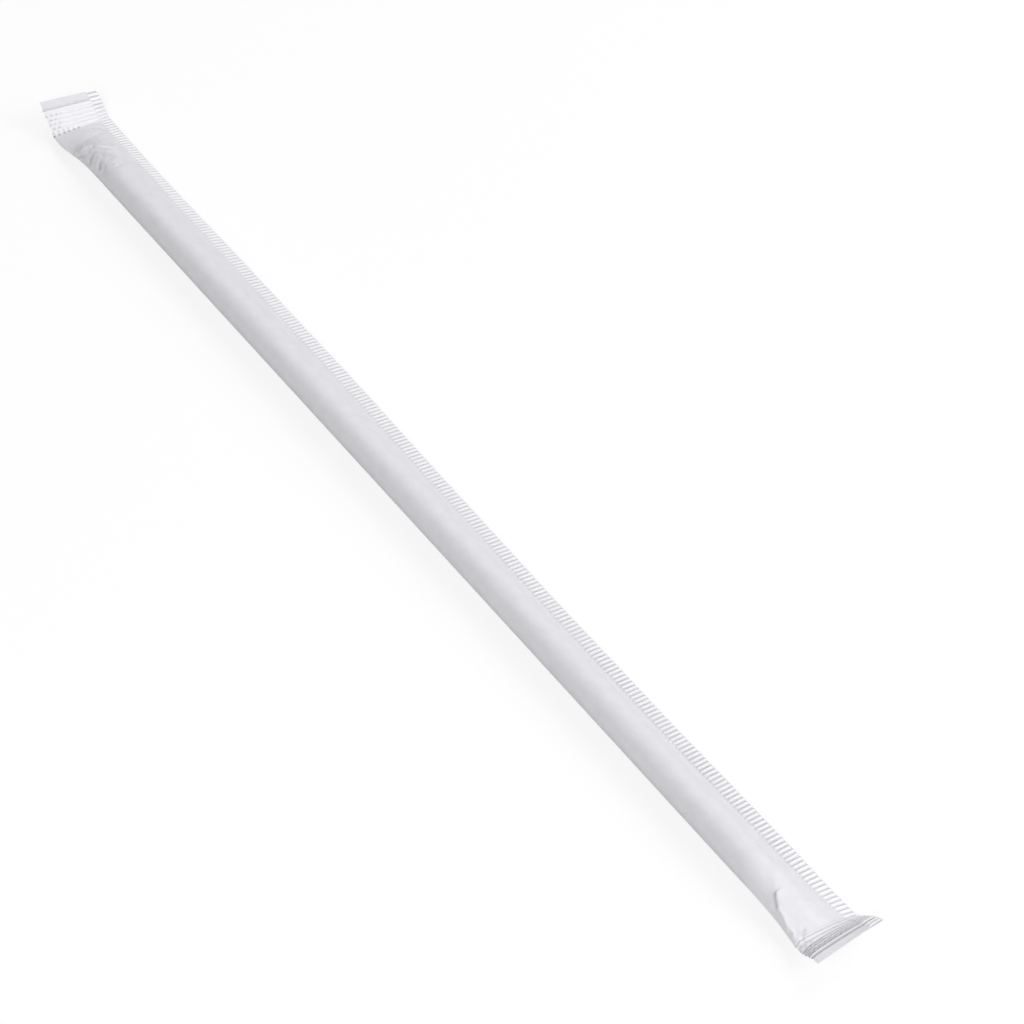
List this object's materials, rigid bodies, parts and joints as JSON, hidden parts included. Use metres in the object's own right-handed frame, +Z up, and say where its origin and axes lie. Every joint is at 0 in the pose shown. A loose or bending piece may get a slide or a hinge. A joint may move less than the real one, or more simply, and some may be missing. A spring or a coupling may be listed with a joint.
{
  "type": "wrapped drinking straw",
  "caption": "Drinking straw sealed in a white paper sleeve that is crimped along one side and across both ends, lying flat.",
  "frame": {"origin": "on the table, in the middle of the flat strip of the sleeve that rests on it, halfway between the two end seals", "axes": "+X along the straw, +Y towards the crimped side seam, +Z up"},
  "size_m": [0.24, 0.0141, 0.0066],
  "materials": {
    "paper": "matte, uncoated white wrapping paper"
  },
  "bodies": {
    "root": {"wrapped_straw": "paper"}
  },
  "joints": []
}
